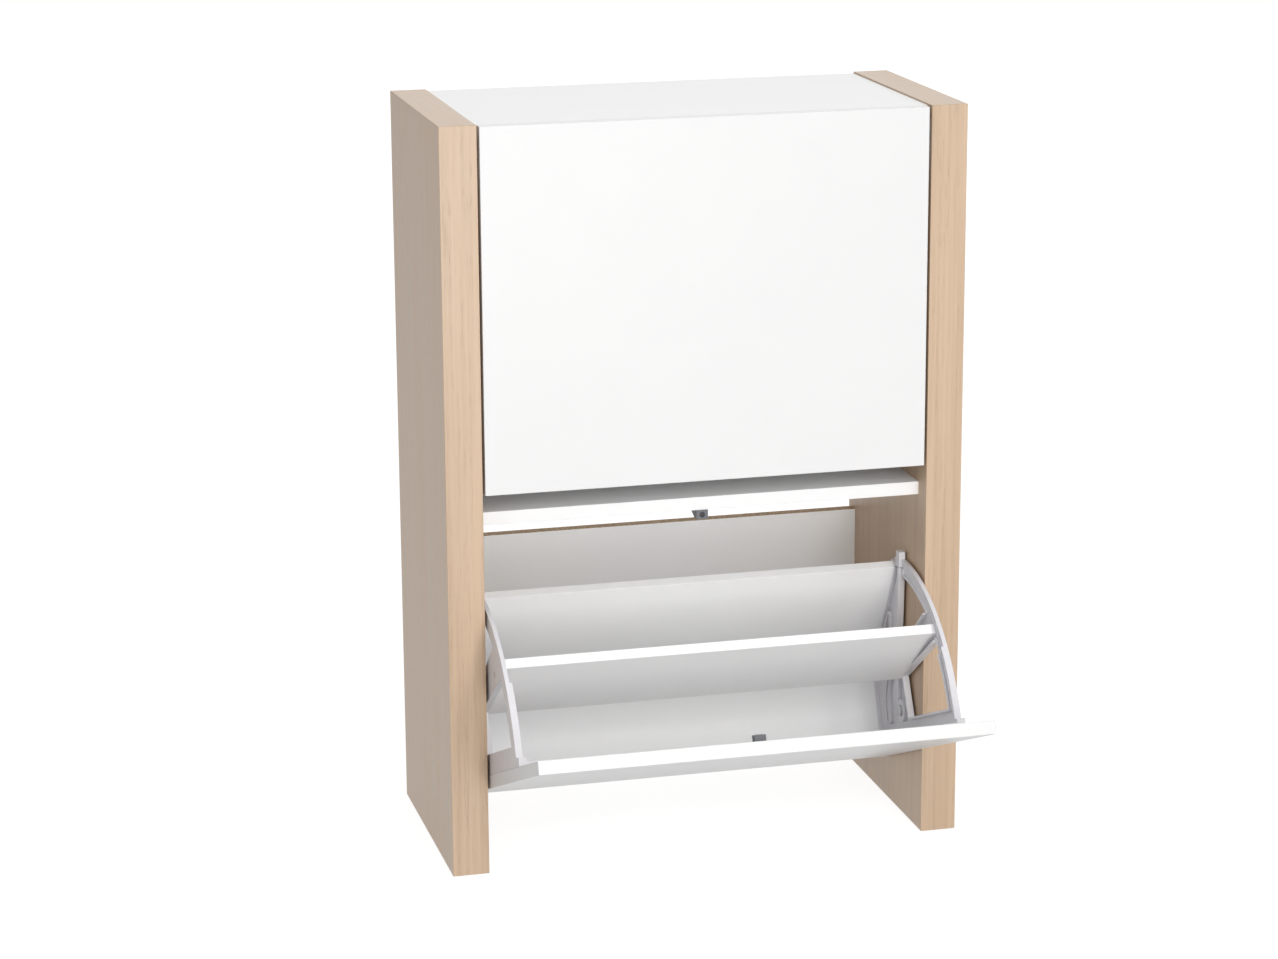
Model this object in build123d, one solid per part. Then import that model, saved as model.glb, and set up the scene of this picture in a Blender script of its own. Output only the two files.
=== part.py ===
from build123d import *
import os
from math import atan2, cos, degrees, radians, sin, sqrt

# Shoe cabinet with two tilting flaps, in millimetres.
# +X is to the right seen from the front, +Y towards the wall, +Z up.
# The origin is on the floor, under the middle of the carcase.
# The upper flap is built closed and the lower flap open.

# ---------------------------------------------------------------- carcase
cabinet_width = 630.0          # over both side panels
cabinet_depth = 300.0          # side panels, front edge to rear edge
cabinet_height = 900.0         # floor to the tops of the side panels
side_thickness = 44.0
board_thickness = 16.0         # top panel, middle shelf and back rails
top_recess = 2.0               # top panel below the tops of the side panels
toe_clearance = 33.0           # floor to the lower door
shelf_drop = 27.0              # middle shelf's top below the upper door
shelf_door_gap = 12.5          # closed door to the middle shelf's front edge
top_door_gap = 1.0             # closed door to the top panel's front edge
rail_recess = 10.0             # back rails in from the rear edges
rail_below_door_top = 122.0    # top of each back rail below its door's top
panel_arris = 0.8              # rounding of the side panels' edges
board_arris = 0.5              # rounding of the boards' edges

# ------------------------------------------------------------------ flaps
door_thickness = 16.0
door_side_gap = 3.0            # door to side panel, each side
door_gap = 3.0                 # between the two doors
flap_board_thickness = 12.0
open_angle = 68.0              # travel of a flap, degrees
pivot_setback = 51.0           # pivot behind the closed door's outer face
pivot_height = 110.0           # pivot above the door's bottom edge
flap_back_clearance = 23.5     # farthest point of the bracket to the back rail
flap_board_clearance = 1.0     # toe board to back shelf
toe_board_depth = 92.0
toe_board_lift = 2.0           # toe board's underside above the door's bottom edge
mid_foot_y = 38.0              # foot of the middle flap shelf, from the pivot
mid_foot_z = 15.0
mid_lean = 73.0                # middle flap shelf from the horizontal, flap closed
mid_rim_gap = 11.0             # its top corner inside the bracket's rim
back_top_angle = 12.3          # direction of the back shelf's top corner
back_top_gap = 11.0            # that corner inside the bracket's rim

# --------------------------------------------------------------- brackets
bracket_depth = 8.0            # along X, from the web's outer face to the ribs
web_thickness = 3.0
rib_thickness = 3.0
rim_width = 20.0               # curved rim, across
rim_rear_angle = 21.4          # directions of the rim's rear end and middle
rim_middle_angle = 61.0
rim_front_rise = 14.0          # rim at the door, above its rear radius
rim_step_angle = 71.0          # direction of the step between its shallow rear and deep front part
rim_step = 3.0                 # how much shallower the rear part is
front_rib_width = 8.0          # solid rib along the deep part
guide_rib_angle = 55.0         # direction in which the guide rib behind the step begins
guide_rib_inset = 5.0          # guide rib inside the rim's outer edge
rail_width = 24.0              # straight rail along the door
spoke_width = 12.0
seat_margin = 9.0              # web in front of the back shelf
seat_back_margin = 4.0         # web behind the back shelf
arm_front_margin = 11.0        # arm in front of the middle flap shelf, at the rim
arm_rear_margin = 36.0         # arm behind it
arm_foot_margin = 31.0         # arm behind its foot
arm_foot_rise = 8.0            # where the arm leaves the lower web, above that foot
window_low = 52.0              # window's corners beside the back shelf, from the shelf's foot
window_high = 114.0
window_depth = (40.0, 11.5)    # window's third corner from its upper one
rear_lug_length = 19.0
rear_lug_width = 12.0
rear_lug_height = 10.5         # lug beyond the rim
front_lug_depth = 10.0
front_lug_height = 16.0
front_lug_drop = 3.0           # lug's underside below the rim's front end
front_lug_step = 2.0           # lug beyond the bracket's inner face
hub_radius = 14.0
hole_corner = 2.0              # rounding of the web's openings
tab_width = 18.0               # screw tabs on the door's inner face
tab_length = 16.0
tab_thickness = 5.0
tab_low_gap = 6.0              # lowest tab above the toe board
tab_top_rise = 11.0            # highest tab's upper edge above the rim's front end
shelf_boss_radius = 3.0        # moulded boss below the middle flap shelf
shelf_boss_height = 2.0
shelf_boss_inset = 6.0         # boss from that shelf's upper corner, both ways

# ------------------------------------------------- pivots, stops, fasteners
pivot_radius = 4.0
running_clearance = 0.05       # pivot pin in its bush, radial
pin_head_radius = 7.0
pin_head_height = 2.5
pin_engagement = 12.0          # pin inside the bush
bush_wall = 3.0
bush_length = 15.0
bush_flange_radius = 10.0
bush_flange_thickness = 1.0
stop_radius = 55.0             # stop pin from the pivot
stop_angle = -30.0             # direction of the stop pin
stop_pin_radius = 2.5
stop_pin_hold = 12.0           # stop pin inside the side panel
stop_pin_inset = 6.0           # its tip inside the bracket's outer face
stop_clearance = 0.5           # stop pin in its slot

screw_radius = 1.8
screw_head_radius = 3.6
screw_head_height = 2.2
board_screw_length = 32.0
door_screw_length = 15.0

cam_radius = 7.5
cam_depth = 12.5
cam_inset = 34.0               # cam's axis from the board's end
cam_bolt_radius = 3.0
cam_bolt_hold = 11.0           # bolt inside the side panel
cam_bolt_grip = 3.0            # bolt inside the cam
dowel_radius = 4.0
dowel_length = 30.0
cam_edge = 45.0                # cams from a back rail's edges
dowel_edge = 95.0              # dowels from a back rail's edges
shelf_cam_y = (-90.0, 100.0)   # along the top panel and the middle shelf
shelf_dowel_y = (-55.0, 65.0)

# ------------------------------------------------------ catches, wall, floor
catch_width = 14.0
catch_length = 34.0
catch_height = 11.0
catch_lip = 3.0                # catch's height at its rear end
catch_forward = 1.5            # catch in front of the middle shelf's edge
magnet_radius = 3.5
magnet_length = 6.0
strike_gap = 1.0               # magnet to strike plate, door closed
strike_plate_thickness = 1.0
strike_plate_radius = 4.5

wall_bracket_x = 200.0
wall_bracket_leg = 24.0
wall_bracket_width = 20.0
wall_bracket_thickness = 2.0
wall_hole_radius = 2.6
wall_hole_drop = 14.0          # below the top panel

glide_height = 2.0
glide_radius = 9.0
glide_nail_radius = 1.2
glide_nail_length = 12.0
glide_end_inset = 35.0         # from the side panel's front and rear edges

# ------------------------------------------------------------ derived sizes
side_in = cabinet_width / 2 - side_thickness            # X of a side panel's inner face
door_half = side_in - door_side_gap                     # X of a door's end
board_half = door_half - bracket_depth                  # X of a flap board's end
front_y, rear_y = -cabinet_depth / 2, cabinet_depth / 2
top_z = cabinet_height - top_recess
door_height = (top_z - toe_clearance - door_gap) / 2
door_bottoms = {"upper": toe_clearance + door_height + door_gap, "lower": toe_clearance}
shelf_top_z = door_bottoms["upper"] - shelf_drop
shelf_under_z = shelf_top_z - board_thickness
top_under_z = top_z - board_thickness
door_back_y = front_y + door_thickness                  # a closed door's inner face
shelf_front_y = door_back_y + shelf_door_gap
top_front_y = door_back_y + top_door_gap
rail_rear_y = rear_y - rail_recess
rail_front_y = rail_rear_y - board_thickness
pivot_y = front_y + pivot_setback

# A flap is described in a plane (u, v): u towards the wall and v up from its pivot, flap closed.
door_u = door_thickness - pivot_setback                 # the door's inner face
door_v = -pivot_height                                  # the door's bottom edge
flap_reach = rail_front_y - pivot_y - flap_back_clearance
rim_radius = flap_reach - rear_lug_height               # rim's rear half, from the pivot
toe_under_v = door_v + toe_board_lift
toe_top_v = toe_under_v + flap_board_thickness
toe_end_u = door_u + toe_board_depth


def polar(radius, angle):
    """Point at a distance and direction (degrees) from the pivot."""
    return Vector(radius * cos(radians(angle)), radius * sin(radians(angle)))


def circle_through(a, b, c):
    """Centre and radius of the circle through three points."""
    ab, ac = b - a, c - a
    cross = 2 * (ab.X * ac.Y - ab.Y * ac.X)
    p, q = ab.X**2 + ab.Y**2, ac.X**2 + ac.Y**2
    centre = a + Vector(ac.Y * p - ab.Y * q, ab.X * q - ac.X * p) / cross
    return centre, (a - centre).length


def polygon(*points):
    """Flat face with the given corners, whichever way round they run."""
    area = sum(a.X * b.Y - b.X * a.Y for a, b in zip(points, points[1:] + points[:1]))
    ordered = points if area > 0 else points[::-1]
    return Polygon(*[(p.X, p.Y) for p in ordered], align=None)


def block(x0, x1, y0, y1, z0, z1):
    """Box between the given limits."""
    return Pos(x0, y0, z0) * Box(x1 - x0, y1 - y0, z1 - z0, align=(Align.MIN,) * 3)


def arrised(solid, radius):
    """The solid with every edge slightly rounded."""
    return fillet(solid.edges(), radius)


def rod(start, direction, radius, length):
    """Cylinder from a point along a direction."""
    face = Plane(origin=start, z_dir=direction) * Circle(radius)
    return extrude(face, length)


def countersunk_screw(head, direction, length):
    """Screw whose flat head is flush at `head` and whose shank runs along `direction`."""
    tip = Plane(origin=head, z_dir=direction)
    cone = tip * Pos(0, 0, screw_head_height / 2) * Cone(screw_head_radius, screw_radius, screw_head_height)
    return cone + rod(head, direction, screw_radius, length)


def both_sides(solid):
    """The solid and its mirror image in the cabinet's middle plane."""
    return [solid, mirror(solid, about=Plane.YZ)]


def pairs(solids):
    """Every solid and its mirror image."""
    return [one for solid in solids for one in both_sides(solid)]


# ------------------------------------------------- a flap's boards, in (u, v)
mid_along = Vector(cos(radians(mid_lean)), sin(radians(mid_lean)))
mid_behind = Vector(mid_along.Y, -mid_along.X)
mid_across = mid_behind * flap_board_thickness
mid_foot = Vector(mid_foot_y, mid_foot_z)
mid_heel = mid_foot + mid_across
half_chord = mid_heel.dot(mid_along)
mid_length = -half_chord + sqrt(half_chord**2 - mid_heel.length**2 + (rim_radius - mid_rim_gap) ** 2)
mid_corners = [mid_foot, mid_heel, mid_heel + mid_along * mid_length, mid_foot + mid_along * mid_length]

back_top = polar(rim_radius - back_top_gap, back_top_angle)
back_low = Vector(toe_end_u + flap_board_clearance, toe_top_v - rib_thickness)
back_along = (back_top - back_low).normalized()
back_out = Vector(back_along.Y, -back_along.X)          # away from the shoes
back_across = back_out * flap_board_thickness
back_corners = [back_low, back_low + back_across, back_top + back_across, back_top]

toe_corners = [
    Vector(door_u, toe_under_v), Vector(toe_end_u, toe_under_v),
    Vector(toe_end_u, toe_top_v), Vector(door_u, toe_top_v),
]

# ---------------------------------------------------- the bracket, in (u, v)
rim_front = Vector(door_u, rim_radius + rim_front_rise)
rim_middle = polar(rim_radius, rim_middle_angle)
rim_rear = polar(rim_radius, rim_rear_angle)
rim_centre, rim_outer = circle_through(rim_front, rim_middle, rim_rear)
rail_u = door_u + rail_width
spoke_end = polar(rim_radius - rim_width / 2, rim_rear_angle - 4)
spoke_start = Vector(hub_radius, -hub_radius)


def rim_ring(outer, inner, first, last):
    """Part of a ring about the rim's centre, cut off at the door's inner face."""
    ring = Circle(outer) - Circle(inner)
    reach = 2 * rim_outer
    steps = [first + (last - first) * k / 4 for k in range(5)]
    wedge = polygon(Vector(0, 0), *[polar(reach, a) for a in steps])
    behind_door = Pos(door_u + reach, 0) * Rectangle(2 * reach, 4 * reach)
    return (Pos(rim_centre.X, rim_centre.Y) * (ring & wedge)) & behind_door


def band(start, end, width):
    """Straight strip of a given width about the line between two points."""
    side = (end - start).normalized()
    side = Vector(-side.Y, side.X) * (width / 2)
    return polygon(start - side, end - side, end + side, start + side)


def rim_direction(point):
    """Direction of a point seen from the rim's centre, in degrees."""
    offset = point - rim_centre
    return degrees(atan2(offset.Y, offset.X))


rim_first, rim_last = rim_direction(back_top), 100.0    # directions from the rim's centre
rear_lug = polar(flap_reach - rear_lug_length / 2, rim_rear_angle - 5.5)
rear_lug = Pos(rear_lug.X, rear_lug.Y) * Rot(0, 0, 90 - open_angle) * Rectangle(rear_lug_length, rear_lug_width)


def bracket_arm():
    """Wide arm behind the middle flap shelf, from the hub up to the rim."""
    top = mid_foot + mid_along * (mid_length + mid_rim_gap)
    arm = polygon(
        mid_foot + mid_along * arm_foot_rise, top - mid_behind * arm_front_margin,
        top + mid_behind * arm_rear_margin, mid_foot + mid_behind * arm_foot_margin,
    )
    return arm & (Pos(rim_centre.X, rim_centre.Y) * Circle(rim_outer - rib_thickness))


def bracket_plate():
    """Outline of the bracket's web."""
    back_foot = back_low + back_across
    lower = polygon(
        Vector(door_u, toe_under_v), Vector(toe_end_u, toe_under_v), back_foot + back_out * seat_back_margin,
        back_top + back_across + back_out * seat_back_margin, spoke_end, mid_foot + mid_behind * arm_foot_margin,
        mid_foot + mid_along * arm_foot_rise, Vector(rail_u, 2 * hub_radius), Vector(door_u, 2 * hub_radius),
    )
    rail = polygon(
        Vector(door_u, toe_under_v), Vector(rail_u, toe_under_v),
        Vector(rail_u, rim_front.Y - rim_width / 2), Vector(door_u, rim_front.Y - rim_width / 2),
    )
    rim = rim_ring(rim_outer, rim_outer - rim_width, rim_first, rim_last)
    apex = back_low + back_along * window_high - back_out * seat_margin
    window = polygon(apex, apex - Vector(*window_depth), back_low + back_along * window_low - back_out * seat_margin)
    plate = lower + rail + rim + bracket_arm() + rear_lug
    return plate - fillet(window.vertices(), hole_corner)


def stop_slot(widen=0.0):
    """Curved slot about the pivot that the stop pin slides in."""
    path = CenterArc((0, 0), stop_radius, stop_angle - open_angle, open_angle)
    return SlotArc(path, 2 * (stop_pin_radius + stop_clearance + widen))


def rim_zone(outer_inset, inner_inset, first, last):
    """Part of the rim between two insets from its outer edge and two directions from the pivot."""
    ends = [rim_direction(polar(rim_radius, angle)) for angle in (first, last)]
    return rim_ring(rim_outer - outer_inset, rim_outer - inner_inset, *ends)


def shallow_rim():
    """Where the rim is lower than the rest of the bracket."""
    zone = rim_zone(-1, rim_width + 1, rim_rear_angle - 4, rim_step_angle)
    return zone - polygon(*mid_corners) - polygon(*back_corners) - rear_lug


def bracket_ribs(plate):
    """Everything in the bracket that has its full depth."""
    ribs = plate - offset(plate, -rib_thickness, kind=Kind.INTERSECTION)
    ribs += polygon(*mid_corners) + polygon(*back_corners) + polygon(*toe_corners)
    ribs += band(spoke_start, spoke_end, spoke_width)
    ribs += Circle(hub_radius) + rear_lug + stop_slot(rib_thickness)
    ribs += rim_zone(guide_rib_inset, guide_rib_inset + rib_thickness, guide_rib_angle, rim_step_angle + 1)
    ribs += rim_zone(0, front_rib_width, rim_step_angle, 180 - rim_step_angle)
    return ribs & plate


def on_flap(sketch, x, depth):
    """Extrude a (u, v) sketch along +X from x, in the flap's own frame."""
    return extrude(Plane(origin=(x, 0, 0), x_dir=(0, 1, 0), z_dir=(1, 0, 0)) * sketch, depth)


def tab_heights():
    """Lower edges of the screw tabs along the door."""
    top = rim_front.Y - tab_length + tab_top_rise
    low = toe_top_v + tab_low_gap
    return [low, (low + top) / 2, top]


def right_bracket():
    """Ribbed plastic bracket at the flap's right end, before its holes."""
    plate = bracket_plate()
    body = on_flap(plate, door_half - web_thickness, web_thickness)
    body += on_flap(bracket_ribs(plate), board_half, bracket_depth)
    lug_v = rim_front.Y - front_lug_drop
    body += block(board_half - front_lug_step, door_half, door_u, door_u + front_lug_depth, lug_v,
                  lug_v + front_lug_height)
    body -= on_flap(shallow_rim(), board_half - 1, rim_step + 1)
    boss = mid_foot + mid_along * (mid_length - shelf_boss_inset) - mid_behind * shelf_boss_inset
    body += rod((board_half + bracket_depth - web_thickness, boss.X, boss.Y), (-1, 0, 0), shelf_boss_radius,
                shelf_boss_height)
    body -= on_flap(stop_slot(), board_half - 1, bracket_depth + 2)
    body -= rod((board_half - 1, 0, 0), (1, 0, 0), pivot_radius + running_clearance, bracket_depth + 2)
    return body


def bracket_tabs():
    """Right-hand screw tabs on the door's inner face."""
    return [
        block(board_half - tab_width, board_half, door_u, door_u + tab_thickness, v, v + tab_length)
        for v in tab_heights()
    ]


def board_screws():
    """Right-hand screws through the bracket into the ends of the flap's boards."""
    screws = []
    for corners in (mid_corners, back_corners, toe_corners):
        if corners is toe_corners:
            low, high = (corners[0] + corners[3]) / 2, (corners[1] + corners[2]) / 2
        else:
            low, high = (corners[0] + corners[1]) / 2, (corners[2] + corners[3]) / 2
        for share in (0.22, 0.78):
            point = low + (high - low) * share
            screws.append(countersunk_screw((door_half, point.X, point.Y), (-1, 0, 0), board_screw_length))
    return screws


def door_screws():
    """Right-hand screws through the bracket's tabs into the door."""
    x = board_half - tab_width / 2
    return [
        countersunk_screw((x, door_u + tab_thickness, v + tab_length / 2), (0, -1, 0), door_screw_length)
        for v in tab_heights()
    ]


def pivot_pin():
    """Right-hand pivot pin with its head inside the hub."""
    length = bracket_depth + door_side_gap + pin_engagement
    head = rod((board_half - pin_head_height, 0, 0), (1, 0, 0), pin_head_radius, pin_head_height)
    return head + rod((board_half, 0, 0), (1, 0, 0), pivot_radius, length)


def flap_board(corners):
    """Board between the two brackets with the given section."""
    board = on_flap(polygon(*corners), -board_half, 2 * board_half)
    return arrised(board, board_arris)


def catch_height_on(door):
    """Middle of the magnetic catch that holds a door shut, above the floor."""
    under = {"upper": top_under_z, "lower": shelf_under_z}[door]
    return under - catch_height / 2


def strike(door):
    """Spacer and steel strike plate on the door's inner face."""
    v = catch_height_on(door) - door_bottoms[door] - pivot_height
    face = shelf_front_y - catch_forward - strike_gap - pivot_y
    spacer_end = face - strike_plate_thickness
    spacer = block(-catch_width / 2, catch_width / 2, door_u, spacer_end, v - catch_height / 2, v + catch_height / 2)
    spacer = fillet(spacer.edges().filter_by(Axis.Y), 1.0)
    plate = rod((0, spacer_end, v), (0, 1, 0), strike_plate_radius, strike_plate_thickness)
    return spacer, plate


def flap(door):
    """All pieces of one flap, closed, with the pivot at the origin."""
    panel = block(-door_half, door_half, -pivot_setback, door_u, door_v, door_v + door_height)
    panel = arrised(panel, panel_arris)
    boards = {"mid_shelf": mid_corners, "back_shelf": back_corners, "toe_board": toe_corners}
    boards = {name: flap_board(corners) for name, corners in boards.items()}
    bracket, tabs = right_bracket(), bracket_tabs()
    into_boards, into_door = board_screws(), door_screws()
    for solid in into_boards + tabs:
        bracket -= solid
    tabs = [tab - screw for tab, screw in zip(tabs, into_door)]
    for screw in pairs(into_boards):
        boards = {name: board - screw for name, board in boards.items()}
    for screw in pairs(into_door):
        panel -= screw
    spacer, plate = strike(door)
    right, left = both_sides(bracket)
    pieces = {
        "door": panel, "bracket_right": right, "bracket_left": left,
        "bracket_tabs": pairs(tabs),
        "pivot_pins": both_sides(pivot_pin()),
        "board_screws": pairs(into_boards), "door_screws": pairs(into_door),
        "strike_spacer": spacer, "strike_plate": plate,
    }
    pieces.update(boards)
    return pieces


def place(pieces, door, angle):
    """Flap pieces turned about the pivot and moved to their place in the cabinet."""
    where = Pos(0, pivot_y, door_bottoms[door] + pivot_height) * Rot(angle, 0, 0)
    placed = {}
    for name, piece in pieces.items():
        group = piece if isinstance(piece, list) else [piece]
        placed[f"{door}_{name}"] = [where * one for one in group]
    return placed


# --------------------------------------------------------- carcase fittings
def pivot_places():
    """Height of each flap's pivot."""
    return [bottom + pivot_height for bottom in door_bottoms.values()]


def bush_pocket(z):
    """Hole in the right-hand side panel that holds a bush."""
    return rod((side_in, pivot_y, z), (1, 0, 0), pivot_radius + running_clearance + bush_wall, bush_length)


def pivot_bush(z):
    """Right-hand flanged bush in the side panel."""
    flange = rod((side_in, pivot_y, z), (-1, 0, 0), bush_flange_radius, bush_flange_thickness)
    bore = rod((side_in - bush_flange_thickness, pivot_y, z), (1, 0, 0), pivot_radius + running_clearance,
               bush_flange_thickness + bush_length - 1)
    return bush_pocket(z) + flange - bore


def stop_pin(z):
    """Right-hand pin that stops the flap at both ends of its travel."""
    point = polar(stop_radius, stop_angle)
    start = (door_half - stop_pin_inset, pivot_y + point.X, z + point.Y)
    return rod(start, (1, 0, 0), stop_pin_radius, stop_pin_inset + door_side_gap + stop_pin_hold)


def flat_board_joints(under_z):
    """Right-hand cams, bolts and dowels of a horizontal board with this underside."""
    middle = under_z + board_thickness / 2
    cams = [rod((side_in - cam_inset, y, under_z), (0, 0, 1), cam_radius, cam_depth) for y in shelf_cam_y]
    bolts = [cam_bolt(y, middle) for y in shelf_cam_y]
    cams = [cam - bolt for cam, bolt in zip(cams, bolts)]
    return cams, bolts, [dowel(y, middle) for y in shelf_dowel_y]


def rail_joints(bottom, top):
    """Right-hand cams, bolts and dowels of an upright back rail."""
    middle = (rail_front_y + rail_rear_y) / 2
    cam_z, dowel_z = (bottom + cam_edge, top - cam_edge), (bottom + dowel_edge, top - dowel_edge)
    cams = [rod((side_in - cam_inset, rail_rear_y, z), (0, -1, 0), cam_radius, cam_depth) for z in cam_z]
    bolts = [cam_bolt(middle, z) for z in cam_z]
    cams = [cam - bolt for cam, bolt in zip(cams, bolts)]
    return cams, bolts, [dowel(middle, z) for z in dowel_z]


def cam_bolt(y, z):
    """Bolt from inside the cam into the side panel."""
    start = side_in - cam_inset + cam_radius - cam_bolt_grip
    return rod((start, y, z), (1, 0, 0), cam_bolt_radius, side_in - start + cam_bolt_hold)


def dowel(y, z):
    """Dowel half in the board and half in the side panel."""
    return rod((side_in - dowel_length / 2, y, z), (1, 0, 0), dowel_radius, dowel_length)


def catch(under_z, front):
    """Wedge-shaped magnetic catch under a board: body, magnet and screw."""
    rear = front + catch_length
    profile = Polygon((front, under_z), (front, under_z - catch_height), (front + catch_length * 0.3, under_z - catch_height),
                      (rear, under_z - catch_lip), (rear, under_z), align=None)
    body = on_flap(profile, -catch_width / 2, catch_width)
    magnet = rod((0, front, under_z - catch_height / 2), (0, 1, 0), magnet_radius, magnet_length)
    fixing_y = front + catch_length * 0.72
    screw = rod((0, fixing_y, under_z - catch_lip), (0, 0, 1), screw_radius, catch_lip + 9)
    head = rod((0, fixing_y, under_z - catch_lip), (0, 0, -1), screw_head_radius, screw_head_height)
    recess = rod((0, fixing_y, under_z - catch_lip), (0, 0, -1), screw_head_radius + 0.4, catch_height)
    return body - magnet - recess - screw, magnet, screw + head


def wall_bracket():
    """Right-hand steel angle under the top panel, and its screw."""
    x0, x1 = wall_bracket_x - wall_bracket_width / 2, wall_bracket_x + wall_bracket_width / 2
    flat = block(x0, x1, rear_y - wall_bracket_leg, rear_y, top_under_z - wall_bracket_thickness, top_under_z)
    upright = block(x0, x1, rear_y - wall_bracket_thickness, rear_y, top_under_z - wall_bracket_leg, top_under_z)
    hole = rod((wall_bracket_x, rear_y - wall_bracket_leg, top_under_z - wall_hole_drop), (0, 1, 0),
               wall_hole_radius, 2 * wall_bracket_leg)
    seat = (wall_bracket_x, rear_y - wall_bracket_leg / 2, top_under_z - wall_bracket_thickness)
    screw = rod(seat, (0, 0, 1), screw_radius, wall_bracket_thickness + 12)
    head = rod(seat, (0, 0, -1), screw_head_radius, screw_head_height)
    return flat + upright - hole - screw, screw + head


def floor_glide(y):
    """Right-hand nailed glide under the side panel."""
    x = (side_in + cabinet_width / 2) / 2
    disc = rod((x, y, 0), (0, 0, 1), glide_radius, glide_height)
    disc = chamfer(disc.edges().sort_by(Axis.Z)[0], glide_height / 4)
    return disc + rod((x, y, glide_height), (0, 0, 1), glide_nail_radius, glide_nail_length)


def carcase():
    """All fixed pieces of the cabinet."""
    panel = block(side_in, cabinet_width / 2, front_y, rear_y, glide_height, cabinet_height)
    panel = arrised(panel, panel_arris)
    bushes = [pivot_bush(z) for z in pivot_places()]
    stops = [stop_pin(z) for z in pivot_places()]
    glides = [floor_glide(y) for y in (front_y + glide_end_inset, rear_y - glide_end_inset)]
    boards = {
        "top_panel": block(-side_in, side_in, top_front_y, rear_y, top_under_z, top_z),
        "middle_shelf": block(-side_in, side_in, shelf_front_y, rail_rear_y, shelf_under_z, shelf_top_z),
    }
    joints = [flat_board_joints(top_under_z), flat_board_joints(shelf_under_z)]
    for name, bottom in door_bottoms.items():
        top = bottom + door_height - rail_below_door_top
        boards[f"back_rail_{name}"] = block(-side_in, side_in, rail_front_y, rail_rear_y, bottom, top)
        joints.append(rail_joints(bottom, top))
    cams, bolts, dowels = [sum((set_[k] for set_ in joints), []) for k in range(3)]
    boards = {name: arrised(board, board_arris) for name, board in boards.items()}
    for fitting in pairs(cams + bolts + dowels):
        boards = {name: board - fitting for name, board in boards.items()}
    for fitting in [bush_pocket(z) for z in pivot_places()] + stops + glides + bolts + dowels:
        panel -= fitting

    front = shelf_front_y - catch_forward
    catches = [catch(under, front) for under in (top_under_z, shelf_under_z)]
    angle, angle_screw = wall_bracket()
    for screw in [one[2] for one in catches] + both_sides(angle_screw):
        boards = {name: board - screw for name, board in boards.items()}
    pieces = {
        "side_panel_right": [panel], "side_panel_left": [mirror(panel, about=Plane.YZ)],
        "pivot_bushes": pairs(bushes), "stop_pins": pairs(stops), "floor_glides": pairs(glides),
        "cam_locks": pairs(cams), "cam_bolts": pairs(bolts), "wood_dowels": pairs(dowels),
        "catch_bodies": [one[0] for one in catches], "catch_magnets": [one[1] for one in catches],
        "catch_screws": [one[2] for one in catches],
        "wall_brackets": both_sides(angle), "wall_bracket_screws": both_sides(angle_screw),
    }
    pieces.update({name: [board] for name, board in boards.items()})
    return pieces


def main():
    """Build every node and write its STEP file."""
    os.makedirs("parts", exist_ok=True)
    nodes = carcase()
    nodes.update(place(flap("upper"), "upper", 0.0))
    nodes.update(place(flap("lower"), "lower", open_angle))
    for name, solids in nodes.items():
        shape = solids[0] if len(solids) == 1 else Compound(children=solids)
        export_step(shape, f"parts/{name}.step")


main()
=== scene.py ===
"""Looks of a shoe cabinet with two tilting flaps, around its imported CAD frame.

Everything is in metres: +X to the right seen from the front, +Y towards the wall, +Z up, with the
origin on the floor under the middle of the carcase.
"""
import logging
import math
from dataclasses import dataclass, field
from enum import Enum
from typing import Iterable, Sequence

import bmesh
import bpy
import numpy as np
from mathutils import Euler, Matrix, Vector


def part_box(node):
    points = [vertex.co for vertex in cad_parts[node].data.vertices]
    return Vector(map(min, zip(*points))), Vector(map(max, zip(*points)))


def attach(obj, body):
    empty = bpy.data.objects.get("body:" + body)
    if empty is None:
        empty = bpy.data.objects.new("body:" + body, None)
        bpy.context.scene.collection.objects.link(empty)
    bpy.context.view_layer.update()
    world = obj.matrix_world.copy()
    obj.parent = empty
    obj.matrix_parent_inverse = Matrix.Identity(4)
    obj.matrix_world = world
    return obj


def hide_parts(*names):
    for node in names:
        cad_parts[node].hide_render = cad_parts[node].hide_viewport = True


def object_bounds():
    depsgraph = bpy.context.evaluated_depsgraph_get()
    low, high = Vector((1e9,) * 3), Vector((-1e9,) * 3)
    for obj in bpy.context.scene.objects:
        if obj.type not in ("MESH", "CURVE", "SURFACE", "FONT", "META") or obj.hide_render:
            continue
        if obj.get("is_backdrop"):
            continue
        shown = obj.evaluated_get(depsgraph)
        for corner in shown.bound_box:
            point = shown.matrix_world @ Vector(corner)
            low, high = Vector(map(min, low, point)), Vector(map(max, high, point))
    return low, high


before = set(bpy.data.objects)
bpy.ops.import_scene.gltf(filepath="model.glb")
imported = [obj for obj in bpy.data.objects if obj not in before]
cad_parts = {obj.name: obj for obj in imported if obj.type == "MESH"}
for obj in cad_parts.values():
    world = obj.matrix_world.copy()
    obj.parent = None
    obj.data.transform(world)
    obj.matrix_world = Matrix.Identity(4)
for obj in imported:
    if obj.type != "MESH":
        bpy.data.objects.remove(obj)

log = logging.getLogger("shoe_cabinet")

Colour = tuple[float, float, float]
Socket = bpy.types.NodeSocket
Value = Socket | float
MM = 0.001


class Axis(Enum):
    """Row axes, by their index."""

    X = 0
    Y = 1
    Z = 2


class Recess(Enum):
    """Driver recess in a fastener's head: arm length and half width as shares of the head's radius."""

    CROSS_SCREW = (0.52, 0.13)
    CROSS_CAM = (0.50, 0.12)


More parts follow.
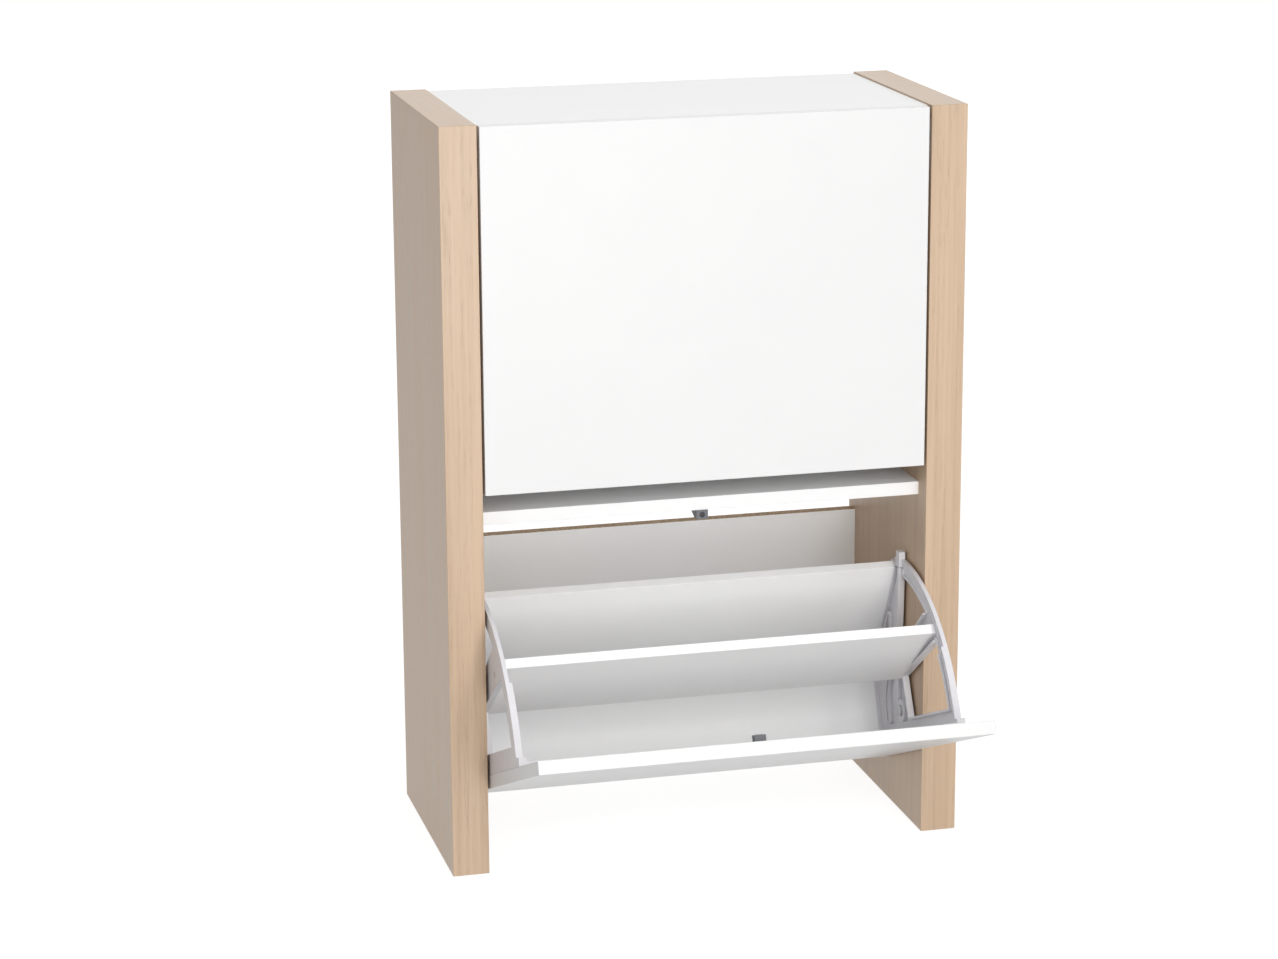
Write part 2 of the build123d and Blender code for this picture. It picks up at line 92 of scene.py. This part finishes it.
# --------------------------------------------------------------------------- shader building blocks
class Shader:
    """One Principled material and the nodes that feed it."""

    def __init__(self, name: str, **sockets: float | Sequence[float]) -> None:
        """Makes the material.

        Args:
            name: The material's name.
            **sockets: Values of the shader's own sockets, with underscores for spaces.
        """
        self.material = bpy.data.materials.new(name)
        self.material.use_nodes = True
        self.nodes = self.material.node_tree.nodes
        self.links = self.material.node_tree.links
        self.surface = self.nodes["Principled BSDF"]
        for socket, value in sockets.items():
            self.surface.inputs[socket.replace("_", " ")].default_value = value
        self._place = None

    def node(self, kind: str, inputs: dict | None = None, **settings) -> bpy.types.Node:
        """Adds a node.

        Args:
            kind: The node's type without its ShaderNode prefix.
            inputs: Values or sockets for its inputs, by name or index.
            **settings: Properties of the node.

        Returns:
            The new node.
        """
        made = self.nodes.new("ShaderNode" + kind)
        for key, value in settings.items():
            setattr(made, key, value)
        for key, value in (inputs or {}).items():
            self.feed(made.inputs[key], value)
        return made

    def feed(self, socket: Socket, value: Value | Colour) -> None:
        """Links a socket to another one, or sets its value.

        Args:
            socket: The input that is fed.
            value: An output to link it to, or its new value.
        """
        if isinstance(value, Socket):
            self.links.new(value, socket)
        else:
            socket.default_value = value

    def place(self) -> Socket:
        """Place on the object, in metres.

        Returns:
            The same socket at every call.
        """
        if self._place is None:
            self._place = self.node("TexCoord").outputs["Object"]
        return self._place

    def math(self, operation: str, a: Value, b: Value = 0.0) -> Socket:
        """Result of one arithmetic operation."""
        return self.node("Math", {0: a, 1: b}, operation=operation).outputs[0]

    def noise(self, pitch: float, detail: float = 2.0, stretch: Sequence[float] = (1, 1, 1),
              distortion: float = 0.0, vector: Socket | None = None) -> Socket:
        """Noise from 0 to 1.

        Args:
            pitch: Size of its largest features, in metres.
            detail: Number of finer octaves.
            stretch: How much longer the features are along each axis.
            distortion: Waviness.
            vector: Place to read it at, or None for the place on the object.

        Returns:
            The noise's factor.
        """
        scaled = self.node("Mapping", {"Vector": vector or self.place(), "Scale": [1 / s for s in stretch]})
        made = self.node("TexNoise", {"Vector": scaled.outputs[0], "Scale": 1 / pitch, "Detail": detail,
                                      "Distortion": distortion})
        return made.outputs["Fac"]

    def ramp(self, factor: Socket, *stops: tuple[float, Colour]) -> Socket:
        """Colour that follows a factor.

        Args:
            factor: Socket from 0 to 1.
            *stops: Positions and their colours, in order.

        Returns:
            The colour.
        """
        made = self.node("ValToRGB", {"Fac": factor})
        elements = made.color_ramp.elements
        while len(elements) < len(stops):
            elements.new(0.5)
        for element, (position, colour) in zip(elements, stops):
            element.position = position
            element.color = (*colour, 1)
        return made.outputs["Color"]

    def levels(self, factor: Socket, low: float, high: float) -> Socket:
        """Factor stretched so that low becomes 0 and high becomes 1, and clamped."""
        return self.node("MapRange", {"Value": factor, "From Min": low, "From Max": high}).outputs[0]

    def mix(self, factor: Socket, a: Socket | Colour, b: Socket | Colour) -> Socket:
        """Mix of two colours.

        Args:
            factor: Share of the second colour, from 0 to 1.
            a: First colour.
            b: Second colour.

        Returns:
            The mixed colour.
        """
        made = self.node("Mix", data_type="RGBA", blend_type="MIX")
        for index, value in ((0, factor), (6, a), (7, b)):
            self.feed(made.inputs[index], (*value, 1) if isinstance(value, tuple) else value)
        return made.outputs[2]

    def bump(self, height: Socket, depth: float, normal: Socket | None = None) -> Socket:
        """Normal with a relief.

        Args:
            height: Height of the relief, from 0 to 1.
            depth: Its depth in metres.
            normal: Normal that it is laid on, or None for the surface's own.

        Returns:
            The normal.
        """
        made = self.node("Bump", {"Height": height, "Distance": depth, "Strength": 1.0})
        if normal is not None:
            self.feed(made.inputs["Normal"], normal)
        return made.outputs[0]

    def rounded(self, radius: float) -> Socket:
        """Normal that looks rounded over at sharp edges."""
        return self.node("Bevel", {"Radius": radius}, samples=4).outputs[0]

    def facing(self, axis: Axis, low: float = 0.6, high: float = 0.8) -> Socket:
        """1 on faces that look along plus or minus an axis, else 0.

        Args:
            axis: The row axis.
            low: Share of the normal along the axis where the factor leaves 0.
            high: Share where it reaches 1.

        Returns:
            The factor.
        """
        normal = self.node("NewGeometry").outputs["True Normal"]
        part = self.node("SeparateXYZ", {0: normal}).outputs[axis.value]
        return self.levels(self.math("ABSOLUTE", part), low, high)

    def finish(self, colour: Socket | None = None, roughness: Socket | None = None,
               normal: Socket | None = None) -> bpy.types.Material:
        """Connects what varies over the surface.

        Args:
            colour: Its base colour.
            roughness: Its roughness.
            normal: Its normal.

        Returns:
            The material.
        """
        for socket, value in (("Base Color", colour), ("Roughness", roughness), ("Normal", normal)):
            if value is not None:
                self.feed(self.surface.inputs[socket], value)
        return self.material


# ---------------------------------------------------------------------------------------- finishes
@dataclass(frozen=True)
class OakFoil:
    """Straight-grained oak-effect foil. Its grain runs upright, and front to back on level faces."""

    pale: Colour = (0.585, 0.42, 0.282)
    middle: Colour = (0.49, 0.34, 0.22)
    dark: Colour = (0.36, 0.23, 0.15)
    band_pitch: float = 28 * MM
    band_stretch: float = 22.0
    band_share: float = 0.45
    streak_pitch: float = 5 * MM
    streak_stretch: float = 60.0
    pore_pitch: float = 0.8 * MM
    pore_stretch: float = 28.0
    pore_depth: float = 0.05 * MM
    pore_strength: float = 0.55

    def build(self) -> bpy.types.Material:
        """Makes the finish.

        Returns:
            Material of the side panels.
        """
        s = Shader("oak_foil", Specular_IOR_Level=0.7)
        parts = s.node("SeparateXYZ", {0: s.place()}).outputs
        level = s.node("CombineXYZ", {0: parts[0], 1: parts[2], 2: parts[1]}).outputs[0]
        turned = s.node("Mix", data_type="VECTOR")
        for index, value in ((0, s.facing(Axis.Z)), (4, s.place()), (5, level)):
            s.feed(turned.inputs[index], value)
        along = turned.outputs[1]
        bands = s.noise(self.band_pitch, 2, (1, 1, self.band_stretch), 0.5, along)
        streaks = s.noise(self.streak_pitch, 4, (1, 1, self.streak_stretch), 0.2, along)
        pores = s.noise(self.pore_pitch, 1, (1, 1, self.pore_stretch), 0.0, along)
        broad = s.math("MULTIPLY", bands, self.band_share)
        fine = s.math("MULTIPLY", streaks, 1 - self.band_share)
        tone = s.math("ADD", broad, fine)
        colour = s.ramp(tone, (0.34, self.middle), (0.60, self.pale))
        pore = s.math("MULTIPLY", s.levels(pores, 0.55, 0.72), s.levels(streaks, 0.62, 0.38))
        colour = s.mix(s.math("MULTIPLY", pore, self.pore_strength), colour, self.dark)
        normal = s.bump(s.math("SUBTRACT", 1.0, pore), self.pore_depth)
        return s.finish(colour, s.levels(tone, -0.8, 2.3), normal)


@dataclass(frozen=True)
class WhiteLaminate:
    """Satin white laminate on particle board, with a faint pearl texture and raw core edges."""

    name: str
    white: Colour = (0.95, 0.95, 0.95)
    shade: Colour = (0.935, 0.935, 0.937)
    roughness: float = 0.42
    pearl_pitch: float = 0.7 * MM
    pearl_depth: float = 0.012 * MM
    raw_edges: bool = False
    chip_pitch: float = 1.6 * MM
    chip_stops: Sequence[tuple[float, Colour]] = (
        (0.30, (0.24, 0.15, 0.08)), (0.48, (0.46, 0.32, 0.19)), (0.70, (0.62, 0.48, 0.32)))
    raw_extra_roughness: float = 0.4

    def build(self) -> bpy.types.Material:
        """Makes the finish.

        Returns:
            Material of the white boards and doors.
        """
        s = Shader(self.name, Specular_IOR_Level=0.4, Roughness=self.roughness)
        cloud = s.noise(60 * MM, 3)
        pearl = s.noise(self.pearl_pitch, 2)
        colour = s.mix(s.levels(cloud, 0.3, 0.7), self.white, self.shade)
        relief = s.bump(pearl, self.pearl_depth)
        if not self.raw_edges:
            return s.finish(colour, normal=relief)
        chips = s.noise(self.chip_pitch, 3, (2.2, 1, 1))
        core = s.ramp(chips, *self.chip_stops)
        raw = s.facing(Axis.Z)
        extra = s.math("MULTIPLY", raw, self.raw_extra_roughness)
        return s.finish(s.mix(raw, colour, core), s.math("ADD", extra, self.roughness), relief)


@dataclass(frozen=True)
class MouldedPlastic:
    """Injection-moulded plastic with softened edges and a fine spark-eroded texture."""

    name: str
    colour: Colour
    tint: Colour
    roughness: float = 0.32
    grain_pitch: float = 0.5 * MM
    grain_depth: float = 0.008 * MM
    edge_radius: float = 0.5 * MM
    subsurface: float = 0.0

    def build(self) -> bpy.types.Material:
        """Makes the finish.

        Returns:
            Material of a moulded piece.
        """
        s = Shader(self.name, Specular_IOR_Level=0.5, Subsurface_Weight=self.subsurface)
        flow = s.noise(25 * MM, 2)
        grain = s.noise(self.grain_pitch, 2)
        colour = s.mix(s.levels(flow, 0.3, 0.7), self.colour, self.tint)
        rough = s.math("ADD", s.math("MULTIPLY", grain, 0.10), self.roughness - 0.05)
        return s.finish(colour, rough, s.bump(grain, self.grain_depth, s.rounded(self.edge_radius)))


@dataclass(frozen=True)
class PlatedSteel:
    """Zinc-plated or hardened steel with fine drawing marks."""

    name: str
    colour: Colour = (0.60, 0.60, 0.62)
    stain: Colour = (0.48, 0.48, 0.50)
    roughness: float = 0.34
    metallic: float = 1.0

    def build(self) -> bpy.types.Material:
        """Makes the finish.

        Returns:
            Material of a metal piece.
        """
        s = Shader(self.name, Metallic=self.metallic)
        marks = s.noise(0.35 * MM, 2, (8, 1, 1))
        stains = s.noise(6 * MM, 3)
        colour = s.mix(s.levels(stains, 0.35, 0.75), self.colour, self.stain)
        rough = s.math("ADD", s.math("MULTIPLY", marks, 0.16), self.roughness - 0.08)
        return s.finish(colour, rough, s.bump(marks, 0.01 * MM, s.rounded(0.2 * MM)))


@dataclass(frozen=True)
class Beech:
    """Plain beech of the dowels."""

    pale: Colour = (0.62, 0.44, 0.27)
    dark: Colour = (0.50, 0.33, 0.19)

    def build(self) -> bpy.types.Material:
        """Makes the finish.

        Returns:
            Material of the dowels.
        """
        s = Shader("beech", Roughness=0.6)
        grain = s.noise(0.6 * MM, 3, (20, 1, 1))
        return s.finish(s.ramp(grain, (0.3, self.dark), (0.7, self.pale)), normal=s.bump(grain, 0.05 * MM))


# ------------------------------------------------------------------------------- working with nodes
def islands(node: str) -> list[np.ndarray]:
    """Separate solids of a CAD node.

    Args:
        node: The node's name.

    Returns:
        One array of points per solid, in a steady order.
    """
    mesh = bmesh.new()
    mesh.from_mesh(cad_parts[node].data)
    bmesh.ops.remove_doubles(mesh, verts=mesh.verts, dist=1e-6)
    left, groups = set(mesh.verts), []
    while left:
        stack, group = [left.pop()], []
        while stack:
            vert = stack.pop()
            group.append(vert.co[:])
            for edge in vert.link_edges:
                other = edge.other_vert(vert)
                if other in left:
                    left.remove(other)
                    stack.append(other)
        groups.append(np.array(group))
    mesh.free()
    return sorted(groups, key=lambda g: tuple(np.round(g.mean(0), 4)))


def dress(node: str, material: bpy.types.Material) -> None:
    """Gives a CAD node its finish.

    Args:
        node: The node's name.
        material: Its finish.
    """
    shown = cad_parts[node]
    if not shown.material_slots:
        shown.data.materials.append(material)
    for slot in shown.material_slots:
        slot.material = material
    log.info("dressed %s in %s", node, material.name)


def new_piece(name: str, mesh: bmesh.types.BMesh, material: bpy.types.Material, body: str,
              replaced: Iterable[str] = ()) -> bpy.types.Object:
    """Turns a mesh into a named piece that rides a body.

    Args:
        name: The piece's name.
        mesh: Its mesh, in the row frame, which is used up.
        material: Its finish.
        body: The CAD body that carries it.
        replaced: CAD nodes that it stands for.

    Returns:
        The new object.
    """
    data = bpy.data.meshes.new(name)
    bmesh.ops.recalc_face_normals(mesh, faces=mesh.faces)
    mesh.to_mesh(data)
    mesh.free()
    data.materials.append(material)
    piece = bpy.data.objects.new(name, data)
    bpy.context.scene.collection.objects.link(piece)
    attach(piece, body)
    if replaced:
        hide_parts(*replaced)
    log.info("built %s on %s: %d faces", name, body, len(data.polygons))
    return piece


# ----------------------------------------------------------------------------------------- fasteners
@dataclass
class TurnedHead:
    """A round fastener with a cross recess in its head, turned about its own axis."""

    recess: Recess
    recess_depth: float
    segments: int = 32
    recess_taper: float = 0.72

    def add(self, mesh: bmesh.types.BMesh, place: Matrix, radius: float,
            profile: Sequence[tuple[float, float]]) -> None:
        """Adds one fastener to a mesh.

        Args:
            mesh: The mesh that it joins.
            place: Its head's centre, with local Z pointing into the material.
            radius: The head's radius at its face.
            profile: Radius and depth of each ring below the face, in metres.
        """
        rings = [self._ring(mesh, place, radius, 0.0)]
        rings += [self._ring(mesh, place, r, depth) for r, depth in profile]
        for upper, lower in zip(rings, rings[1:]):
            for k in range(self.segments):
                n = (k + 1) % self.segments
                mesh.faces.new((upper[k], upper[n], lower[n], lower[k]))
        mesh.faces.new(rings[-1])
        self._face_with_recess(mesh, place, radius, rings[0])

    def _ring(self, mesh: bmesh.types.BMesh, place: Matrix, radius: float,
              depth: float) -> list[bmesh.types.BMVert]:
        """Circle of points at a depth.

        Args:
            mesh: The mesh that they join.
            place: The head's centre, with local Z pointing into the material.
            radius: The circle's radius.
            depth: How far it is below the face.

        Returns:
            The points, in order.
        """
        turn = 2 * math.pi / self.segments
        angles = [k * turn for k in range(self.segments)]
        points = [Vector((radius * math.cos(a), radius * math.sin(a), depth)) for a in angles]
        return [mesh.verts.new(place @ p) for p in points]

    def _cross(self, mesh: bmesh.types.BMesh, place: Matrix, radius: float, share: float,
               depth: float) -> list[bmesh.types.BMVert]:
        """Outline of the cross at a depth.

        Args:
            mesh: The mesh that it joins.
            place: The head's centre, with local Z pointing into the material.
            radius: The head's radius.
            share: The outline's size as a share of the one at the face.
            depth: How far it is below the face.

        Returns:
            Twelve points from the first arm's corner.
        """
        arm, half = (value * radius * share for value in self.recess.value)
        corner = [(arm, half), (half, half), (half, arm)]
        points = []
        for quarter in range(4):
            turn = Matrix.Rotation(quarter * math.pi / 2, 4, "Z")
            points += [turn @ Vector((x, y, depth)) for x, y in corner]
        return [mesh.verts.new(place @ p) for p in points]

    def _face_with_recess(self, mesh: bmesh.types.BMesh, place: Matrix, radius: float,
                          rim: list[bmesh.types.BMVert]) -> None:
        """Fills the head's face around the recess, and the recess itself.

        Args:
            mesh: The mesh that they join.
            place: The head's centre, with local Z pointing into the material.
            radius: The head's radius.
            rim: The points around the face.
        """
        top = self._cross(mesh, place, radius, 1.0, 0.0)
        floor = self._cross(mesh, place, radius, self.recess_taper, self.recess_depth)
        per_quarter = self.segments // 4
        for quarter in range(4):
            a, b, c = top[3 * quarter: 3 * quarter + 3]
            after = top[(3 * quarter + 3) % 12]
            start = quarter * per_quarter
            arc = [rim[(start + k) % self.segments] for k in range(1, per_quarter)]
            mesh.faces.new([a, *arc, c, b])
            ends = [rim[(start + per_quarter + k) % self.segments] for k in (-1, 0, 1)]
            mesh.faces.new([c, *ends, after])
        for k in range(12):
            n = (k + 1) % 12
            mesh.faces.new((top[k], top[n], floor[n], floor[k]))
        mesh.faces.new(floor)


def axis_frame(points: np.ndarray) -> tuple[Matrix, float, float]:
    """Frame of a turned solid, from its points.

    Args:
        points: The solid's points.

    Returns:
        A matrix at its wider end with local Z pointing along it, its length, and its widest radius.
    """
    centre = points.mean(0)
    along = np.linalg.svd(points - centre, full_matrices=False)[2][0]
    reach = (points - centre) @ along
    across = np.linalg.norm(points - centre - np.outer(reach, along), axis=1)
    middle = (reach.max() + reach.min()) / 2
    if across[reach > middle].max() > across[reach < middle].max():
        along, reach = -along, -reach
    start = centre + along * reach.min()
    turn = Vector(along).to_track_quat("Z", "Y").to_matrix().to_4x4()
    return Matrix.Translation(Vector(start)) @ turn, float(np.ptp(reach)), float(across.max())


@dataclass
class Screws:
    """Cross-recessed screws of one CAD node."""

    node: str
    body: str
    finish: bpy.types.Material
    countersunk: bool = True
    shank_share: float = 0.5
    head_share: float = 0.61
    face_share: float = 0.98
    pan_face_share: float = 0.8
    tip_share: float = 0.2
    thread_share: float = 0.9
    heads: TurnedHead = field(default_factory=lambda: TurnedHead(Recess.CROSS_SCREW, 1.3 * MM))

    def build(self) -> None:
        """Builds the screws in place of the node."""
        mesh = bmesh.new()
        for points in islands(self.node):
            place, length, radius = axis_frame(points)
            shank, head = radius * self.shank_share, radius * self.head_share
            if self.countersunk:
                face = radius
                profile = [(radius * self.face_share, 0.05 * MM), (shank, head)]
            else:
                face = radius * self.pan_face_share
                profile = [(radius, 0.5 * MM), (radius * self.face_share, head), (shank, head)]
            profile += [(shank, length * self.thread_share), (shank * self.tip_share, length)]
            self.heads.add(mesh, place, face, profile)
        new_piece(f"{self.node}_cross_head", mesh, self.finish, self.body, [self.node])


@dataclass
class CamLocks:
    """Die-cast cams with a raised rim and a cross recess, in place of the plain CAD cylinders."""

    finish: bpy.types.Material
    node: str = "cam_locks"
    face_below_rim: float = 0.5 * MM
    rim_width: float = 0.9 * MM
    rim_chamfer: float = 0.2 * MM
    clearance_share: float = 0.985
    groove_share: float = 0.86
    groove_ends: tuple[float, float, float, float] = (0.42, 0.46, 0.62, 0.66)
    heads: TurnedHead = field(default_factory=lambda: TurnedHead(Recess.CROSS_CAM, 3.0 * MM))

    def build(self) -> None:
        """Builds every cam, each with its open end where the board's pocket opens."""
        mesh = bmesh.new()
        board_faces = self._outward_faces()
        for points in islands(self.node):
            low, high = points.min(0), points.max(0)
            axis = Axis.Y if any(abs(high[1] - y) < self.rim_chamfer for y in board_faces) else Axis.Z
            radius = (high[0] - low[0]) / 2
            centre = (low + high) / 2
            if axis is Axis.Y:
                start, along = (centre[0], high[1], centre[2]), Vector((0, -1, 0))
            else:
                start, along = (centre[0], centre[1], low[2]), Vector((0, 0, 1))
            length = float((high - low)[axis.value])
            place = Matrix.Translation(Vector(start)) @ along.to_track_quat("Z", "Y").to_matrix().to_4x4()
            self._add(mesh, place, radius * self.clearance_share, length)
        new_piece("cam_locks_cast", mesh, self.finish, "carcase", [self.node])

    def _outward_faces(self) -> list[float]:
        """Y of the back rails' rear faces."""
        return [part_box(name)[1].y for name in ("back_rail_lower", "back_rail_upper")]

    def _add(self, mesh: bmesh.types.BMesh, place: Matrix, radius: float, length: float) -> None:
        """Adds one cam: a recessed face inside a rim, and its barrel.

        Args:
            mesh: The mesh that it joins.
            place: Its open end's centre, with local Z pointing into the board.
            radius: The barrel's radius.
            length: The barrel's length.
        """
        inner = radius - self.rim_width
        waist = radius * self.groove_share
        sunk = place @ Matrix.Translation((0, 0, self.face_below_rim))
        rim_up = [(inner, -self.face_below_rim), (radius - self.rim_chamfer, -self.face_below_rim),
                  (radius, self.rim_chamfer - self.face_below_rim)]
        barrel = [(r, length * end) for r, end in zip((radius, waist, waist, radius), self.groove_ends)]
        barrel.append((radius, length - self.face_below_rim))
        self.heads.add(mesh, sunk, inner, rim_up + barrel)


# -------------------------------------------------------------------------------------- sub-assemblies
@dataclass
class Finishes:
    """Every finish of the cabinet, built once."""

    oak: bpy.types.Material
    board: bpy.types.Material
    rail: bpy.types.Material
    door: bpy.types.Material
    bracket: bpy.types.Material
    catch: bpy.types.Material
    nylon: bpy.types.Material
    steel: bpy.types.Material
    magnet: bpy.types.Material
    beech: bpy.types.Material

    @classmethod
    def build(cls) -> "Finishes":
        """Builds every material.

        Returns:
            The finishes.
        """
        return cls(
            oak=OakFoil().build(),
            board=WhiteLaminate("white_board", (0.91, 0.91, 0.91), (0.90, 0.90, 0.902)).build(),
            rail=WhiteLaminate("white_rail", raw_edges=True).build(),
            # Painted shade: the doors are the same white laminate as the boards, given a darker copy of it
            # to offset the strong front light that falls on them
            door=WhiteLaminate("white_door", (0.785, 0.785, 0.787), (0.775, 0.775, 0.778), 0.38).build(),
            bracket=MouldedPlastic("bracket_plastic", (0.74, 0.73, 0.76), (0.71, 0.70, 0.73)).build(),
            catch=MouldedPlastic("catch_plastic", (0.16, 0.165, 0.18), (0.13, 0.135, 0.15), 0.5).build(),
            nylon=MouldedPlastic("nylon", (0.78, 0.77, 0.72), (0.74, 0.72, 0.66), 0.45,
                                 subsurface=0.1).build(),
            steel=PlatedSteel("zinc_steel").build(),
            magnet=PlatedSteel("magnet", (0.05, 0.05, 0.055), (0.03, 0.03, 0.03), 0.55, 0.3).build(),
            beech=Beech().build(),
        )


@dataclass
class Carcase:
    """The fixed part of the cabinet."""

    finishes: Finishes
    sides: Sequence[str] = ("side_panel_left", "side_panel_right")
    boards: Sequence[str] = ("top_panel", "middle_shelf")
    rails: Sequence[str] = ("back_rail_upper", "back_rail_lower")

    def build(self) -> None:
        """Dresses the boards and builds the fittings."""
        f = self.finishes
        for names, material in ((self.sides, f.oak), (self.boards, f.board), (self.rails, f.rail)):
            for name in names:
                dress(name, material)
        for name in ("cam_bolts", "stop_pins", "wall_brackets"):
            dress(name, f.steel)
        for name in ("pivot_bushes", "floor_glides"):
            dress(name, f.nylon)
        dress("wood_dowels", f.beech)
        dress("catch_bodies", f.catch)
        dress("catch_magnets", f.magnet)
        CamLocks(f.steel).build()
        for name in ("catch_screws", "wall_bracket_screws"):
            Screws(name, "carcase", f.steel, countersunk=False).build()


@dataclass
class Flap:
    """One tilting flap: its door, brackets, boards and fasteners."""

    prefix: str
    finishes: Finishes
    boards: Sequence[str] = ("mid_shelf", "back_shelf", "toe_board")

    @property
    def body(self) -> str:
        """The CAD body that carries it."""
        return f"{self.prefix}_flap"

    def build(self) -> None:
        """Dresses the flap's nodes and builds its screws."""
        f = self.finishes
        dress(f"{self.prefix}_door", f.door)
        for name in self.boards:
            dress(f"{self.prefix}_{name}", f.board)
        for name in ("bracket_left", "bracket_right", "bracket_tabs"):
            dress(f"{self.prefix}_{name}", f.bracket)
        small = {"pivot_pins": f.steel, "strike_plate": f.steel, "strike_spacer": f.catch}
        for name, material in small.items():
            dress(f"{self.prefix}_{name}", material)
        for name in ("board_screws", "door_screws"):
            Screws(f"{self.prefix}_{name}", self.body, f.steel).build()


# ---------------------------------------------------------------------------------------------- studio
@dataclass(frozen=True)
class SoftLight:
    """Square area light aimed at a point."""

    name: str
    place: tuple[float, float, float]
    size: float
    power: float
    colour: Colour = (1.0, 1.0, 1.0)

    def build(self, target: Vector) -> None:
        """Makes the light.

        Args:
            target: The point that it is aimed at.
        """
        data = bpy.data.lights.new(self.name, "AREA")
        data.size, data.energy, data.color = self.size, self.power, self.colour
        light = bpy.data.objects.new(self.name, data)
        bpy.context.scene.collection.objects.link(light)
        light.location = self.place
        light.visible_camera = False
        light.rotation_euler = (target - Vector(self.place)).to_track_quat("-Z", "Y").to_euler()


@dataclass
class Studio:
    """Pale floor, soft light and the camera."""

    camera_place: tuple[float, float, float] = (-1.04457, -3.91619, 1.48722)
    camera_turn: tuple[float, float, float] = (75.3937, 0.3155, -14.3859)
    lens: float = 96.59
    floor_size: float = 30.0
    floor_colour: Colour = (0.30, 0.30, 0.30)
    floor_glow: float = 0.86
    sky: float = 0.46
    lights: Sequence[SoftLight] = (
        SoftLight("high_front", (0.3, -4.0, 2.1), 2.0, 74.0, (1.0, 0.995, 0.985)),
        SoftLight("low_front", (0.1, -3.2, 0.45), 0.9, 24.0, (1.0, 0.995, 0.985)),
        SoftLight("overhead", (0.0, -0.6, 3.2), 2.2, 13.0),
        SoftLight("left", (-3.4, -1.2, 1.0), 2.0, 7.0),
        SoftLight("right", (3.4, 0.6, 1.2), 2.0, 9.0),
        SoftLight("back", (1.6, 6.5, 3.0), 4.0, 66.0),
    )

    def build(self) -> None:
        """Makes the whole studio."""
        self._floor()
        self._sky()
        low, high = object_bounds()
        for light in self.lights:
            light.build((low + high) / 2)
        self._camera()

    def _floor(self) -> None:
        """Plain pale floor that isn't part of the object."""
        mesh = bmesh.new()
        bmesh.ops.create_grid(mesh, x_segments=1, y_segments=1, size=self.floor_size / 2)
        data = bpy.data.meshes.new("floor")
        mesh.to_mesh(data)
        mesh.free()
        s = Shader("floor", Roughness=0.9, Specular_IOR_Level=0.1, Base_Color=(*self.floor_colour, 1),
                   Emission_Color=(1, 1, 1, 1), Emission_Strength=self.floor_glow)
        data.materials.append(s.material)
        floor = bpy.data.objects.new("floor", data)
        bpy.context.scene.collection.objects.link(floor)
        floor.location.z = -0.05 * MM
        floor.visible_diffuse = False
        floor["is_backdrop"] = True

    def _sky(self) -> None:
        """Even white surroundings that light the cabinet less than they are bright."""
        world = bpy.data.worlds.new("studio")
        world.use_nodes = True
        nodes, links = world.node_tree.nodes, world.node_tree.links
        background = nodes["Background"]
        background.inputs["Color"].default_value = (1, 1, 1, 1)
        strength = nodes.new("ShaderNodeMapRange")
        strength.inputs["To Min"].default_value = self.sky
        strength.inputs["To Max"].default_value = 1.0
        links.new(nodes.new("ShaderNodeLightPath").outputs["Is Camera Ray"], strength.inputs["Value"])
        links.new(strength.outputs[0], background.inputs["Strength"])
        bpy.context.scene.world = world
        bpy.context.scene.view_settings.view_transform = "Standard"

    def _camera(self) -> None:
        """Camera at the shown viewing angle."""
        data = bpy.data.cameras.new("camera")
        data.lens, data.sensor_width = self.lens, 36.0
        camera = bpy.data.objects.new("camera", data)
        bpy.context.scene.collection.objects.link(camera)
        camera.location = self.camera_place
        camera.rotation_euler = Euler([math.radians(angle) for angle in self.camera_turn])
        bpy.context.scene.camera = camera


def main() -> None:
    """Builds the cabinet's looks in order."""
    logging.basicConfig(level=logging.INFO, format="%(name)s: %(message)s")
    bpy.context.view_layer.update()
    finishes = Finishes.build()
    Carcase(finishes).build()
    for prefix in ("upper", "lower"):
        Flap(prefix, finishes).build()
    Studio().build()


if __name__ == "__main__":
    main()
